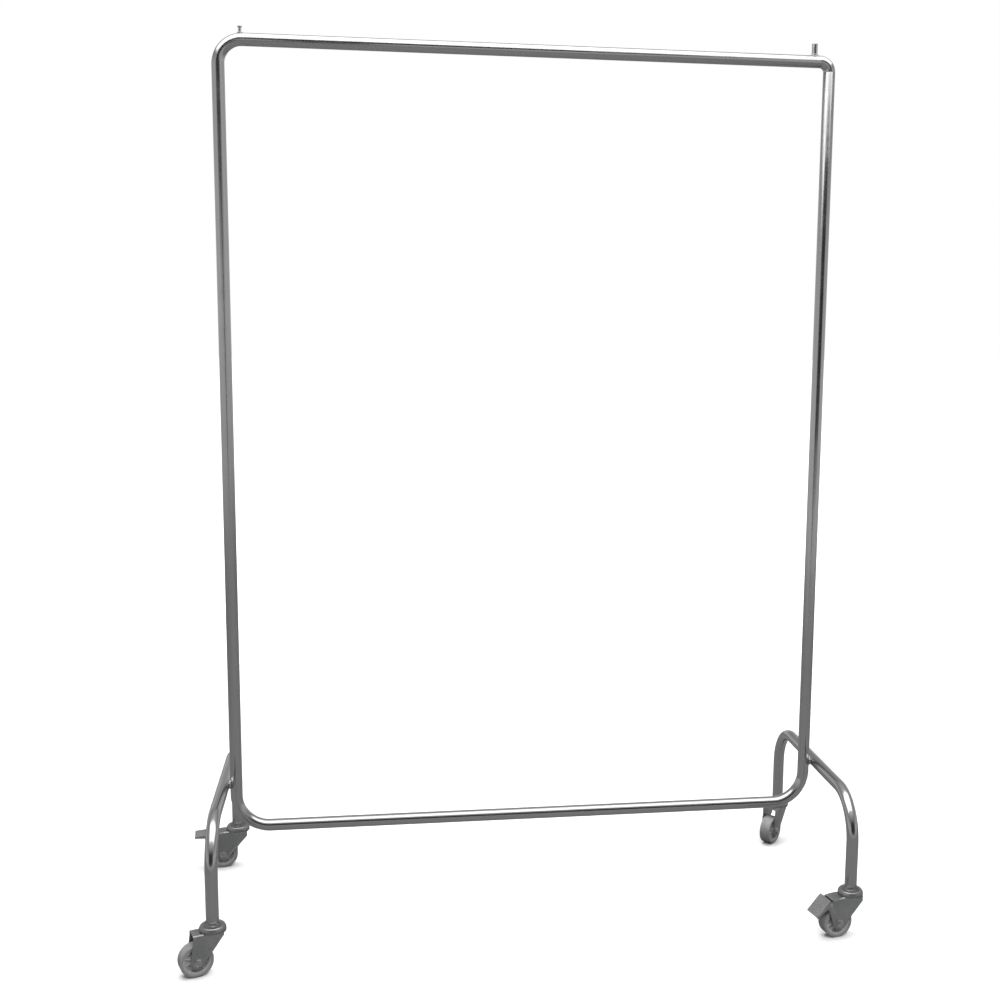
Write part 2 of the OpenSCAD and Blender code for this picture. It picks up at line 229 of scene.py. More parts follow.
class RackFinish(bpy.types.PropertyGroup):
    """Colours of the finishes."""

    chrome: FloatVectorProperty(
        name="Chrome",
        description="Reflection colour of the chromed tubes",
        default=(0.55, 0.55, 0.555),
        **TINT,
    )
    weld: FloatVectorProperty(
        name="Weld",
        description="Reflection colour of the plated weld beads",
        default=(0.46, 0.455, 0.45),
        **TINT,
    )
    zinc: FloatVectorProperty(
        name="Zinc",
        description="Colour of the zinc-plated pressings",
        default=(0.47, 0.474, 0.478),
        **TINT,
    )
    bright: FloatVectorProperty(
        name="Bright steel",
        description="Colour of the bolts, nuts, stems and balls",
        default=(0.62, 0.62, 0.63),
        **TINT,
    )
    core: FloatVectorProperty(
        name="Wheel core",
        description="Colour of the moulded wheel cores",
        default=(0.46, 0.46, 0.46),
        **TINT,
    )
    tyre: FloatVectorProperty(
        name="Tyre",
        description="Colour of the wheels' tyres",
        default=(0.29, 0.29, 0.288),
        **TINT,
    )
    dust: FloatVectorProperty(
        name="Dust",
        description="Colour of the dust on upward faces",
        default=(0.36, 0.35, 0.33),
        **TINT,
    )


class RackStage(bpy.types.PropertyGroup):
    """Floor, lights and camera."""

    floor_size: FloatProperty(
        name="Floor size",
        description="Width of the floor",
        default=60.0,
        unit="LENGTH",
    )
    key_power: FloatProperty(
        name="Key light",
        description="Power of the large soft light above the front",
        default=150.0,
        unit="POWER",
    )
    panel_power: FloatProperty(
        name="Ceiling panel",
        description="Power of the panel overhead that only shows in reflections",
        default=78.0,
        unit="POWER",
    )
    lens: FloatProperty(
        name="Lens",
        description="Focal length of the camera",
        default=47.235,
        unit="CAMERA",
    )


def sizes():
    return bpy.context.scene.rack_sizes


# ---- mesh code ----


def skin(name, rings, joined=False):
    """A mesh through rings of points. A ring of one point is a tip, and joined closes last on first."""
    mesh = bmesh.new()
    layer = mesh.loops.layers.uv.new(RUN)
    rows = [[mesh.verts.new(p) for p in ring] for ring in rings]
    pairs = [(i, i + 1) for i in range(len(rows) - 1)]
    if joined:
        pairs.append((len(rows) - 1, 0))
    along = 0.0
    for i, j in pairs:
        a, b = rows[i], rows[j]
        count = max(len(a), len(b))
        reached = along + (Vector(rings[j][0]) - Vector(rings[i][0])).length
        for k in range(count):
            n = (k + 1) % count
            corners = [(a[k % len(a)], k, along), (a[n % len(a)], k + 1, along)]
            corners += [(b[n % len(b)], k + 1, reached), (b[k % len(b)], k, reached)]
            kept = []
            for corner in corners:
                if all(corner[0] is not other[0] for other in kept):
                    kept.append(corner)
            if len(kept) < 3:
                continue
            face = mesh.faces.new([corner[0] for corner in kept])
            for loop, (_, u, v) in zip(face.loops, kept):
                loop[layer].uv = (u / count, v)
        along = reached
    bmesh.ops.recalc_face_normals(mesh, faces=mesh.faces)
    data = bpy.data.meshes.new(name)
    mesh.to_mesh(data)
    mesh.free()
    return data


def smooth(data, limit=38):
    """Smooth shading, except over edges sharper than the limit in degrees."""
    for polygon in data.polygons:
        polygon.use_smooth = True
    data.set_sharp_from_angle(angle=math.radians(limit))


def place(name, data, stands_for, finish, at=None, limit=38):
    """Makes a piece from a mesh, in place of a CAD node and riding on that node's body."""
    if at is not None:
        data.transform(at)
    smooth(data, limit)
    piece = bpy.data.objects.new(name, data)
    bpy.context.scene.collection.objects.link(piece)
    piece.data.materials.append(finish)
    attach(piece, NODES[stands_for]["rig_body"])
    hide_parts(stands_for)
    return piece


def paint(node, finish):
    """Gives a CAD node its finish."""
    piece = NODES[node]
    piece.data.materials.clear()
    piece.data.materials.append(finish)
    return piece


def ease_edges(piece, width):
    """Rounds a CAD node's edges with modifiers, which leave its own mesh as it is."""
    seam, flatness, corner = 20 * MICRON, 0.6, 32  # metres, then degrees
    weld = piece.modifiers.new("close seams", "WELD")
    weld.merge_threshold = seam
    flat = piece.modifiers.new("join flat faces", "DECIMATE")
    flat.decimate_type = "DISSOLVE"
    flat.angle_limit = math.radians(flatness)
    bevel = piece.modifiers.new("round edges", "BEVEL")
    bevel.width = width
    bevel.segments = 3
    bevel.limit_method = "ANGLE"
    bevel.angle_limit = math.radians(corner)
    bevel.harden_normals = True


def eased(points, ease, closed=True, steps=4):
    """The outline with its corners rounded. A point may carry its own ease as a third number."""
    out = []
    for i, point in enumerate(points):
        here = Vector(point[:2])
        own = point[2] if len(point) > 2 else ease
        if own <= 0 or (not closed and i in (0, len(points) - 1)):
            out.append(here)
            continue
        back = Vector(points[i - 1][:2]) - here
        ahead = Vector(points[(i + 1) % len(points)][:2]) - here
        reach = min(own, back.length * 0.45, ahead.length * 0.45)
        a, b = here + back.normalized() * reach, here + ahead.normalized() * reach
        for k in range(steps + 1):
            t = k / steps
            out.append(a * (1 - t) ** 2 + here * (2 * t * (1 - t)) + b * t**2)
    return out


def lathe(profile, steps=72):
    """Rings round Z through (radius, height) points. A point may be a function of the angle."""
    rings = []
    for entry in profile:
        if not callable(entry) and entry[0] <= 0:
            rings.append([Vector((0, 0, entry[1]))])
            continue
        ring = []
        for k in range(steps):
            angle = TAU * k / steps
            r, z = entry(angle) if callable(entry) else entry
            ring.append(Vector((r * math.cos(angle), r * math.sin(angle), z)))
        rings.append(ring)
    return rings


def hexagon(height, chamfer=0.0, up=1):
    """A hexagon's edge at a height, with the corners falling away below a chamfer cone."""
    flat_r = HEX_FLATS / 2
    corner_r = flat_r / math.cos(math.pi / 6) * 0.985

    def edge(angle):
        r = min(corner_r, flat_r / math.cos(angle % (math.pi / 3) - math.pi / 6))
        fall = max(0.0, r - flat_r * 0.97) * math.tan(math.radians(30)) + chamfer
        return r, height - up * (fall if chamfer else 0)

    return edge


def thread(radius, low, high, pitch, depth):
    """Rings of a screw thread between two heights."""
    rings_per_turn = 8
    count = max(4, round((high - low) / pitch * rings_per_turn))

    def ring(z):
        def edge(angle):
            wave = 0.5 + 0.5 * math.cos(TAU * z / pitch + angle)
            return radius - depth * wave, z

        return edge

    return [ring(low + (high - low) * k / count) for k in range(count + 1)]


def across():
    """Turns a piece made round Z so that it lies along the axle, its top towards +Y."""
    return Matrix.Rotation(math.radians(-90), 4, "X")


# ---- bent tube ----


def walk(start, heading, legs, bend_steps=36):
    """Stations (across, up, heading, share of bend) along a flat path.

    A leg is (length,) or (radius, turn). The share of bend eases in over a fifth of each bend.
    """
    x, z = start
    angle = math.radians(heading)
    stations = [(x, z, angle, 0.0)]
    for leg in legs:
        if len(leg) == 1:
            x += leg[0] * math.cos(angle)
            z += leg[0] * math.sin(angle)
            stations.append((x, z, angle, 0.0))
            continue
        radius, turn = leg[0], math.radians(leg[1])
        side = math.copysign(1, turn)
        cx = x - side * radius * math.sin(angle)
        cz = z + side * radius * math.cos(angle)
        for k in range(1, bend_steps + 1):
            t = k / bend_steps
            now = angle + turn * t
            px = cx + side * radius * math.sin(now)
            pz = cz - side * radius * math.cos(now)
            share = min(1.0, 5 * t, 5 * (1 - t))
            stations.append((px, pz, now, share * share * (3 - 2 * share)))
        x, z, angle = stations[-1][0], stations[-1][1], angle + turn
    return stations


def tube(name, stations, radius, wall, flattening, edge, to_space, steps=64):
    """A hollow tube along flat stations. to_space turns (across, up, sideways) into a point."""

    def ring(station, r, shift=0.0):
        x, z, angle, share = station
        x += shift * math.cos(angle)
        z += shift * math.sin(angle)
        squeeze = 1 - flattening * share
        out = []
        for k in range(steps):
            a = TAU * k / steps
            side = r * squeeze * math.cos(a)
            across_by, up_by = -side * math.sin(angle), side * math.cos(angle)
            out.append(to_space(x + across_by, z + up_by, r * math.sin(a)))
        return out

    first, last = stations[0], stations[-1]
    nick = 0.3 * edge
    rings = [ring(first, radius - edge), ring(first, radius - nick, nick), ring(first, radius, edge)]
    rings += [ring(s, radius) for s in stations[1:-1]]
    rings += [ring(last, radius, -edge), ring(last, radius - nick, -nick), ring(last, radius - edge)]
    rings += [ring(s, radius - wall) for s in reversed(stations)]
    return skin(name, rings, joined=True)


def loop_space(x, z, side):
    return Vector((x, side, z))


def hoop_space(hoop_x):
    return lambda y, z, side: Vector((hoop_x + side, y, z))


# ---- finishes ----


def group(name, inputs, outputs):
    """A new shader node group with named sockets."""
    tree = bpy.data.node_groups.new(name, "ShaderNodeTree")
    for label, kind, default in inputs:
        socket = tree.interface.new_socket(label, in_out="INPUT", socket_type=kind)
        if default is not None:
            socket.default_value = default
    for label, kind in outputs:
        tree.interface.new_socket(label, in_out="OUTPUT", socket_type=kind)
    return tree, tree.nodes.new("NodeGroupInput"), tree.nodes.new("NodeGroupOutput")


def math_node(tree, kind, a, b=None):
    """One sum. Each value is a number or a socket."""
    node = tree.nodes.new("ShaderNodeMath")
    node.operation = kind
    for i, value in enumerate((a, b)):
        if value is None:
            continue
        if isinstance(value, (int, float)):
            node.inputs[i].default_value = value
        else:
            tree.links.new(value, node.inputs[i])
    return node.outputs[0]


def noise_node(tree, vector, scale, detail=3.0, rough=0.5):
    """Noise from 0 to 1 over a vector. The scale is a number or a socket."""
    node = tree.nodes.new("ShaderNodeTexNoise")
    node.inputs["Detail"].default_value = detail
    node.inputs["Roughness"].default_value = rough
    if isinstance(scale, (int, float)):
        node.inputs["Scale"].default_value = scale
    else:
        tree.links.new(scale, node.inputs["Scale"])
    tree.links.new(vector, node.inputs["Vector"])
    return node.outputs["Fac"]


def band(tree, value, low, high):
    """0 below low, 1 above high, smooth between."""
    node = tree.nodes.new("ShaderNodeMapRange")
    node.interpolation_type = "SMOOTHSTEP"
    tree.links.new(value, node.inputs["Value"])
    node.inputs["From Min"].default_value = low
    node.inputs["From Max"].default_value = high
    return node.outputs["Result"]


def drawn_lines():
    """Fine lines that run along a tube, or round a turned piece."""
    name = "Drawn lines"
    if name in bpy.data.node_groups:
        return bpy.data.node_groups[name]
    tree, entry, leave = group(
        name,
        [
            ("Run", "NodeSocketVector", None),
            ("Round", "NodeSocketFloat", 40.0),
            ("Along", "NodeSocketFloat", 1.0),
        ],
        [("Lines", "NodeSocketFloat"), ("Streaks", "NodeSocketFloat")],
    )
    split = tree.nodes.new("ShaderNodeSeparateXYZ")
    tree.links.new(entry.outputs["Run"], split.inputs[0])
    angle = math_node(tree, "MULTIPLY", split.outputs["X"], TAU)
    join = tree.nodes.new("ShaderNodeCombineXYZ")
    for axis, kind in (("X", "COSINE"), ("Y", "SINE")):
        turn = math_node(tree, kind, angle)
        tree.links.new(math_node(tree, "MULTIPLY", turn, entry.outputs["Round"]), join.inputs[axis])
    along = math_node(tree, "MULTIPLY", split.outputs["Y"], entry.outputs["Along"])
    tree.links.new(along, join.inputs["Z"])
    fine = noise_node(tree, join.outputs[0], 1.0, 4.0, 0.65)
    broad = noise_node(tree, join.outputs[0], 0.13, 2.0)  # streaks about eight times as wide
    tree.links.new(fine, leave.inputs["Lines"])
    tree.links.new(broad, leave.inputs["Streaks"])
    return tree


def hand_marks():
    """Cloudy patches where a piece has been handled."""
    name = "Hand marks"
    if name in bpy.data.node_groups:
        return bpy.data.node_groups[name]
    tree, entry, leave = group(
        name,
        [("Place", "NodeSocketVector", None), ("Size", "NodeSocketFloat", 14.0)],
        [("Patches", "NodeSocketFloat"), ("Specks", "NodeSocketFloat")],
    )
    cloud = noise_node(tree, entry.outputs["Place"], entry.outputs["Size"], 5.0, 0.6)
    tree.links.new(band(tree, cloud, 0.46, 0.72), leave.inputs["Patches"])
    grains = math_node(tree, "MULTIPLY", entry.outputs["Size"], 45.0)
    specks = noise_node(tree, entry.outputs["Place"], grains, 2.0)
    tree.links.new(band(tree, specks, 0.66, 0.76), leave.inputs["Specks"])
    return tree


def edge_wear_sheen_and_hollow_shade():
    """Where edges stick out, broken up by a grain, for edge wear and for a painted edge highlight; and
    the hollows, for painted shade.
    """
    name = "Worn edges"
    if name in bpy.data.node_groups:
        return bpy.data.node_groups[name]
    tree, entry, leave = group(
        name,
        [("Place", "NodeSocketVector", None), ("Grain", "NodeSocketFloat", 400.0)],
        [("Edge", "NodeSocketFloat"), ("Hollow", "NodeSocketFloat")],
    )
    shape = tree.nodes.new("ShaderNodeNewGeometry").outputs["Pointiness"]
    grain = noise_node(tree, entry.outputs["Place"], entry.outputs["Grain"], 3.0)
    # edge mask: lighter edges stand for wear, and on the zinc also for a painted highlight
    sharp, broken = band(tree, shape, 0.51, 0.56), band(tree, grain, 0.35, 0.6)
    tree.links.new(math_node(tree, "MULTIPLY", sharp, broken), leave.inputs["Edge"])
    # hollow mask: painted shade, used to darken the colour in concave places
    hollow = math_node(tree, "SUBTRACT", 1.0, band(tree, shape, 0.43, 0.5))
    tree.links.new(hollow, leave.inputs["Hollow"])
    return tree


def settled_dust():
    """Dust on faces that look up, thicker in patches."""
    name = "Settled dust"
    if name in bpy.data.node_groups:
        return bpy.data.node_groups[name]
    tree, entry, leave = group(
        name,
        [("Place", "NodeSocketVector", None), ("Amount", "NodeSocketFloat", 0.5)],
        [("Dust", "NodeSocketFloat")],
    )
    split = tree.nodes.new("ShaderNodeSeparateXYZ")
    tree.links.new(tree.nodes.new("ShaderNodeNewGeometry").outputs["Normal"], split.inputs[0])
    up = band(tree, split.outputs["Z"], 0.1, 0.95)
    patches = noise_node(tree, entry.outputs["Place"], 90.0, 6.0, 0.7)
    cover = math_node(tree, "MULTIPLY", up, band(tree, patches, 0.35, 0.7))
    dust = math_node(tree, "MULTIPLY", cover, entry.outputs["Amount"])
    tree.links.new(dust, leave.inputs["Dust"])
    return tree


def mould_grain():
    """Fine pebbled grain of a moulded or cast face."""
    name = "Mould grain"
    if name in bpy.data.node_groups:
        return bpy.data.node_groups[name]
    tree, entry, leave = group(
        name,
        [("Place", "NodeSocketVector", None), ("Fineness", "NodeSocketFloat", 900.0)],
        [("Grain", "NodeSocketFloat"), ("Mottle", "NodeSocketFloat")],
    )
    pebbles = tree.nodes.new("ShaderNodeTexVoronoi")
    pebbles.feature = "SMOOTH_F1"
    tree.links.new(entry.outputs["Place"], pebbles.inputs["Vector"])
    tree.links.new(entry.outputs["Fineness"], pebbles.inputs["Scale"])
    tree.links.new(pebbles.outputs["Distance"], leave.inputs["Grain"])
    coarse = math_node(tree, "MULTIPLY", entry.outputs["Fineness"], 0.06)
    tree.links.new(noise_node(tree, entry.outputs["Place"], coarse, 4.0, 0.6), leave.inputs["Mottle"])
    return tree


class Finish:
    """A material being put together: one Principled BSDF fed by shared groups."""

    def __init__(self, name, colour, metallic, roughness):
        self.material = bpy.data.materials.new(name)
        self.material.use_nodes = True
        self.tree = self.material.node_tree
        self.shader = self.tree.nodes["Principled BSDF"]
        self.shader.inputs["Metallic"].default_value = metallic
        self.colour_value = (*colour, 1.0)
        self.colour = None
        self.roughness_value = roughness
        self.roughness = None
        self.height = None
        spots = self.tree.nodes.new("ShaderNodeTexCoord")
        self.place = spots.outputs["Object"]

    def use(self, tree, **values):
        node = self.tree.nodes.new("ShaderNodeGroup")
        node.node_tree = tree
        for label, value in values.items():
            if isinstance(value, (int, float)):
                node.inputs[label].default_value = value
            else:
                self.tree.links.new(value, node.inputs[label])
        return node.outputs

    def run(self):
        node = self.tree.nodes.new("ShaderNodeUVMap")
        node.uv_map = RUN
        return node.outputs["UV"]

    def tint(self, mask, strength, colour):
        """Mixes a colour in where the mask is."""
        mix = self.tree.nodes.new("ShaderNodeMix")
        mix.data_type = "RGBA"
        mix_in = [s for s in mix.inputs if s.type == "RGBA"]
        if self.colour is None:
            mix_in[0].default_value = self.colour_value
        else:
            self.tree.links.new(self.colour, mix_in[0])
        mix_in[1].default_value = (*colour, 1.0)
        self.tree.links.new(math_node(self.tree, "MULTIPLY", mask, strength), mix.inputs["Factor"])
        self.colour = next(s for s in mix.outputs if s.type == "RGBA")

    def rough(self, mask, amount):
        """Adds to the roughness where the mask is."""
        base = self.roughness if self.roughness is not None else self.roughness_value
        more = math_node(self.tree, "MULTIPLY", mask, amount)
        self.roughness = math_node(self.tree, "ADD", more, base)

    def bump(self, mask, depth):
        """Adds relief, in metres."""
        more = math_node(self.tree, "MULTIPLY", mask, depth)
        self.height = more if self.height is None else math_node(self.tree, "ADD", self.height, more)

    def done(self):
        links = self.tree.links
        if self.colour is None:
            self.shader.inputs["Base Color"].default_value = self.colour_value
        else:
            links.new(self.colour, self.shader.inputs["Base Color"])
        if self.roughness is None:
            self.shader.inputs["Roughness"].default_value = self.roughness_value
        else:
            links.new(self.roughness, self.shader.inputs["Roughness"])
        if self.height is not None:
            bump = self.tree.nodes.new("ShaderNodeBump")
            bump.inputs["Strength"].default_value = 1.0
            bump.inputs["Distance"].default_value = 1.0
            links.new(self.height, bump.inputs["Height"])
            links.new(bump.outputs["Normal"], self.shader.inputs["Normal"])
        return self.material


def darker(colour, share):
    return tuple(c * share for c in colour)


def lighter(colour, share):
    return tuple(min(1.0, c * share) for c in colour)


def chrome_tube():
    """Bright plate over drawn tube: lengthwise lines, faint hand marks."""
    colour = tuple(bpy.context.scene.rack_finish.chrome)
    made = Finish("bright chrome plate", colour, 1.0, 0.15)
    lines = made.use(drawn_lines(), Run=made.run(), Round=9.0, Along=2.5)
    marks = made.use(hand_marks(), Place=made.place, Size=9.0)
    made.tint(lines["Streaks"], 0.55, darker(colour, 0.72))
    made.tint(marks["Patches"], 0.18, darker(colour, 0.8))
    made.tint(marks["Specks"], 0.3, darker(colour, 0.45))
    made.rough(marks["Patches"], 0.10)
    made.rough(lines["Lines"], 0.05)
    made.bump(lines["Lines"], 2 * MICRON)
    return made.done()


def plated_bead():
    """Chrome plate over a weld bead: pitted and a little burnt."""
    colour = tuple(bpy.context.scene.rack_finish.weld)
    made = Finish("plated weld bead", colour, 1.0, 0.17)
    grain = made.use(mould_grain(), Place=made.place, Fineness=1500.0)
    marks = made.use(hand_marks(), Place=made.place, Size=160.0)
    made.tint(marks["Patches"], 0.6, darker(colour, 0.5))
    made.rough(grain["Mottle"], 0.2)
    made.bump(grain["Grain"], 60 * MICRON)
    return made.done()


def turned_bar(name, colour, roughness):
    """Plated bar turned on a lathe: fine rings, worn edges, and painted shade darkening the hollows."""
    made = Finish(name, colour, 1.0, roughness)
    lines = made.use(drawn_lines(), Run=made.run(), Round=1.2, Along=3500.0)
    edges = made.use(edge_wear_sheen_and_hollow_shade(), Place=made.place, Grain=700.0)
    marks = made.use(hand_marks(), Place=made.place, Size=80.0)
    made.tint(marks["Patches"], 0.35, darker(colour, 0.65))
    # painted shade: the colour is darkened in the hollows
    made.tint(edges["Hollow"], 0.6, darker(colour, 0.35))
    made.tint(edges["Edge"], 0.5, lighter(colour, 1.3))
    made.rough(marks["Patches"], 0.12)
    made.rough(lines["Lines"], 0.08)
    made.bump(lines["Lines"], 1.2 * MICRON)
    return made.done()


def zinc_sheet():
    """Satin zinc plate on pressed sheet: spangle, scuffs, settled dust, and edges lightened both for
    wear and as a painted highlight.
    """
    values = bpy.context.scene.rack_finish
    colour = tuple(values.zinc)
    made = Finish("satin zinc plate", colour, 1.0, 0.27)
    grain = made.use(mould_grain(), Place=made.place, Fineness=420.0)
    marks = made.use(hand_marks(), Place=made.place, Size=45.0)
    edges = made.use(edge_wear_sheen_and_hollow_shade(), Place=made.place, Grain=500.0)
    dust = made.use(settled_dust(), Place=made.place, Amount=0.5)
    made.tint(grain["Mottle"], 0.9, darker(colour, 0.5))
    made.tint(marks["Patches"], 0.3, darker(colour, 0.6))
    # edges made much lighter: partly wear, partly a painted highlight on the rolled edges
    made.tint(edges["Edge"], 0.7, lighter(colour, 1.7))
    made.tint(dust["Dust"], 0.5, tuple(values.dust))
    made.rough(grain["Mottle"], 0.16)
    made.rough(dust["Dust"], 0.3)
    made.bump(grain["Grain"], 40 * MICRON)
    made.bump(grain["Mottle"], 80 * MICRON)
    return made.done()


def moulded(name, colour, roughness, fineness, dirt):
    """Moulded plastic or rubber: pebbled grain, mottling, scuffed edges, dust, and painted shade
    darkening the hollows.
    """
    made = Finish(name, colour, 0.0, roughness)
    grain = made.use(mould_grain(), Place=made.place, Fineness=fineness)
    marks = made.use(hand_marks(), Place=made.place, Size=60.0)
    edges = made.use(edge_wear_sheen_and_hollow_shade(), Place=made.place, Grain=350.0)
    dust = made.use(settled_dust(), Place=made.place, Amount=dirt)
    made.tint(grain["Mottle"], 0.5, darker(colour, 0.7))
    made.tint(marks["Patches"], 0.3, darker(colour, 0.62))
    made.tint(marks["Specks"], 0.4, darker(colour, 0.4))
    # painted shade: the colour is darkened in the hollows
    made.tint(edges["Hollow"], 0.5, darker(colour, 0.4))
    made.tint(edges["Edge"], 0.35, lighter(colour, 1.5))
    made.tint(dust["Dust"], 0.6, tuple(bpy.context.scene.rack_finish.dust))
    made.rough(grain["Mottle"], 0.2)
    made.bump(grain["Grain"], 50 * MICRON)
    return made.done()


def finish(name):
    """The finish of that name, made the first time it is asked for."""
    values = bpy.context.scene.rack_finish
    bright, core, tyre = tuple(values.bright), tuple(values.core), tuple(values.tyre)
    makers = {
        "bright chrome plate": chrome_tube,
        "plated weld bead": plated_bead,
        "satin zinc plate": zinc_sheet,
        "bright plated bar": lambda: turned_bar(name, bright, 0.16),
        "plated fastener": lambda: turned_bar(name, darker(bright, 0.9), 0.22),
        "plain turned steel": lambda: turned_bar(name, darker(bright, 0.6), 0.35),
        "grey wheel plastic": lambda: moulded(name, core, 0.38, 1300.0, 0.35),
        "grey tyre rubber": lambda: moulded(name, tyre, 0.52, 1000.0, 0.5),
    }
    return bpy.data.materials.get(name) or makers[name]()


# ---- operators ----


class RACK_OT_bend_loop(bpy.types.Operator):
    """Bends the loop tube and the tight elbow that closes it."""

    bl_idname = "rack.bend_loop"
    bl_label = "Bend loop and elbow"

    def execute(self, context):
        size = sizes()
        height, width = TOP_Z - BOTTOM_Z, 2 * UPRIGHT_X
        corner = size.bottom_bend
        loop = walk(
            (UPRIGHT_X - size.elbow_bend, TOP_Z),
            180,
            [
                (width - size.elbow_bend - size.top_bend,),
                (size.top_bend, 90),
                (height - size.top_bend - corner,),
                (corner, 90),
                (width - 2 * corner,),
                (corner, 90),
                (height - corner - size.elbow_bend,),
            ],
        )
        elbow = walk((UPRIGHT_X, TOP_Z - size.elbow_bend), 90, [(size.elbow_bend, 90)])
        flattening = size.bend_flattening
        elbow_flattening = 0.3 * flattening  # the elbow is drawn over a core, which keeps it rounder
        for node, stations, name, squeeze in (
            ("loop_tube", loop, "bent_loop", flattening),
            ("closing_elbow", elbow, "bent_elbow", elbow_flattening),
        ):
            data = tube(name, stations, TUBE_R, size.tube_wall, squeeze, size.cut_edge, loop_space)
            place(name, data, node, finish("bright chrome plate"))
        return {"FINISHED"}


class RACK_OT_bend_leg_hoops(bpy.types.Operator):
    """Bends the left and right leg hoops."""

    bl_idname = "rack.bend_leg_hoops"
    bl_label = "Bend leg hoops"

    def execute(self, context):
        size = sizes()
        shoulder = LEG_Y - size.hoop_bend
        leg = HOOP_Z - size.hoop_bend - LEG_END
        for side, word in ((-1, "left"), (1, "right")):
            bend = (size.hoop_bend, -90)
            stations = walk((-LEG_Y, LEG_END), 90, [(leg,), bend, (2 * shoulder,), bend, (leg,)])
            name = f"bent_{word}_hoop"
            data = tube(
                name,
                stations,
                TUBE_R,
                size.tube_wall,
                size.bend_flattening,
                size.cut_edge,
                hoop_space(side * HOOP_X),
            )
            place(name, data, f"{word}_leg_hoop", finish("bright chrome plate"))
        return {"FINISHED"}


def bead(name, centre_at, out_at, up, middle, ripples, swell, turns=240):
    """A rippled bead round a closed path. centre_at and out_at give the path and its outward side."""
    sides, grain, wobble = 20, 260, 0.07
    rings = []
    for i in range(turns):
        angle = TAU * i / turns
        centre, out = centre_at(angle), out_at(angle)
        step = (angle / TAU * ripples) % 1.0
        crest = math.sin(math.pi * step) ** 0.6
        wander = noise.noise(centre * grain + Vector((middle * 9000, 0, 0)))
        r = middle * (1 - swell + swell * crest) * (1 + wobble * wander)
        ring = []
        for k in range(sides):
            a = TAU * k / sides
            ring.append(centre + out * (r * math.cos(a)) + up * (r * math.sin(a)))
        rings.append(ring)
    return skin(name, rings, joined=True)


class RACK_OT_lay_welds(bpy.types.Operator):
    """Lays the rippled beads where the hoops cross the uprights and round the pegs' feet."""

    bl_idname = "rack.lay_welds"
    bl_label = "Lay welds"

    def execute(self, context):
        low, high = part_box("right_hoop_weld")
        bead_r = 3.5 * MM
        ring_r = (high.z - low.z) / 2 - bead_r
        for side, word in ((-1, "left"), (1, "right")):
            middle = Vector((side * WELD_X, 0, HOOP_Z))

            def out_at(angle):
                return Vector((0, math.cos(angle), math.sin(angle)))

            data = bead(
                f"{word}_hoop_bead",
                lambda angle: middle + out_at(angle) * ring_r,
                out_at,
                Vector((1, 0, 0)),
                bead_r,
                sizes().bead_ripples,
                0.12,
            )
            look = finish("plated weld bead")
            place(data.name, data, f"{word}_hoop_weld", look, limit=60)
        beads = []
        collar_r = 1.35 * MM
        for (low, high), foot_r in ((LEFT_PEG, PEG_FEET["left"]), (RIGHT_PEG, PEG_FEET["right"])):
            x = (low.x + high.x) / 2
            ring = foot_r * MM + 0.7 * MM

            def centre_at(angle):
                y = ring * math.sin(angle)
                rise = math.sqrt(TUBE_R**2 - y**2) + 0.5 * MM
                return Vector((x + ring * math.cos(angle), y, TOP_Z + rise))

            beads.append(
                bead(
                    "peg_bead",
                    centre_at,
                    lambda angle: Vector((math.cos(angle), math.sin(angle), 0)),
                    Vector((0, 0, 1)),
                    collar_r,
                    round(ring / MM * 3.2),
                    0.14,
                    180,
                )
            )
        both = bmesh.new()
        for data in beads:
            both.from_mesh(data)
        joined = bpy.data.meshes.new("peg_beads")
        both.to_mesh(joined)
        both.free()
        place("peg_beads", joined, "peg_welds", finish("plated weld bead"), limit=60)
        return {"FINISHED"}


def on_rail(ring):
    """Drops a peg's lowest ring on to the rail's round top, and a little into it."""
    for p in ring:
        p.z = math.sqrt(TUBE_R**2 - p.y**2) - 0.3 * MM


class RACK_OT_turn_pegs(bpy.types.Operator):
    """Turns the two pegs that stand on the top rail."""

    bl_idname = "rack.turn_pegs"
    bl_label = "Turn pegs"

    def execute(self, context):
        foot, stub_top, head_height, nose = 8.0, 15.0, 3, 1
        for (low, high), word in ((LEFT_PEG, "left"), (RIGHT_PEG, "right")):
            top = (high.z - TOP_Z) / MM
            shank, stub = PEG_SHANKS[word], PEG_FEET[word]
            outline = [(stub, foot)]
            if word == "left":
                head, under = LEFT_PEG_HEAD_R, top - head_height
                outline += [(stub, under), (head, under), (head, top), (0, top)]
                shape = eased(outline, 0.6, closed=False)
            else:
                outline += [(stub, stub_top), (shank, stub_top + 0.2)]
                outline += [(shank, top - nose), (shank - nose, top), (0, top)]
                shape = eased(outline, 0.1, closed=False)
            rings = [[p * MM for p in ring] for ring in lathe([(0, foot), *shape], 64)]
            on_rail(rings[1])
            rings[0] = [Vector((0, 0, TUBE_R - 0.3 * MM))]
            data = skin(f"turned_{word}_peg", rings)
            at = Matrix.Translation(((low.x + high.x) / 2, 0, TOP_Z))
            place(data.name, data, f"{word}_peg", finish("bright plated bar"), at)
        return {"FINISHED"}


class RACK_OT_fit_plugs(bpy.types.Operator):
    """Finishes the sleeves and plugs that sit inside the tubes."""

    bl_idname = "rack.fit_plugs"
    bl_label = "Fit sleeves and plugs"

    def execute(self, context):
        for node in ("elbow_sleeves", "leg_plugs"):
            ease_edges(paint(node, finish("plain turned steel")), 0.3 * MM)
        return {"FINISHED"}


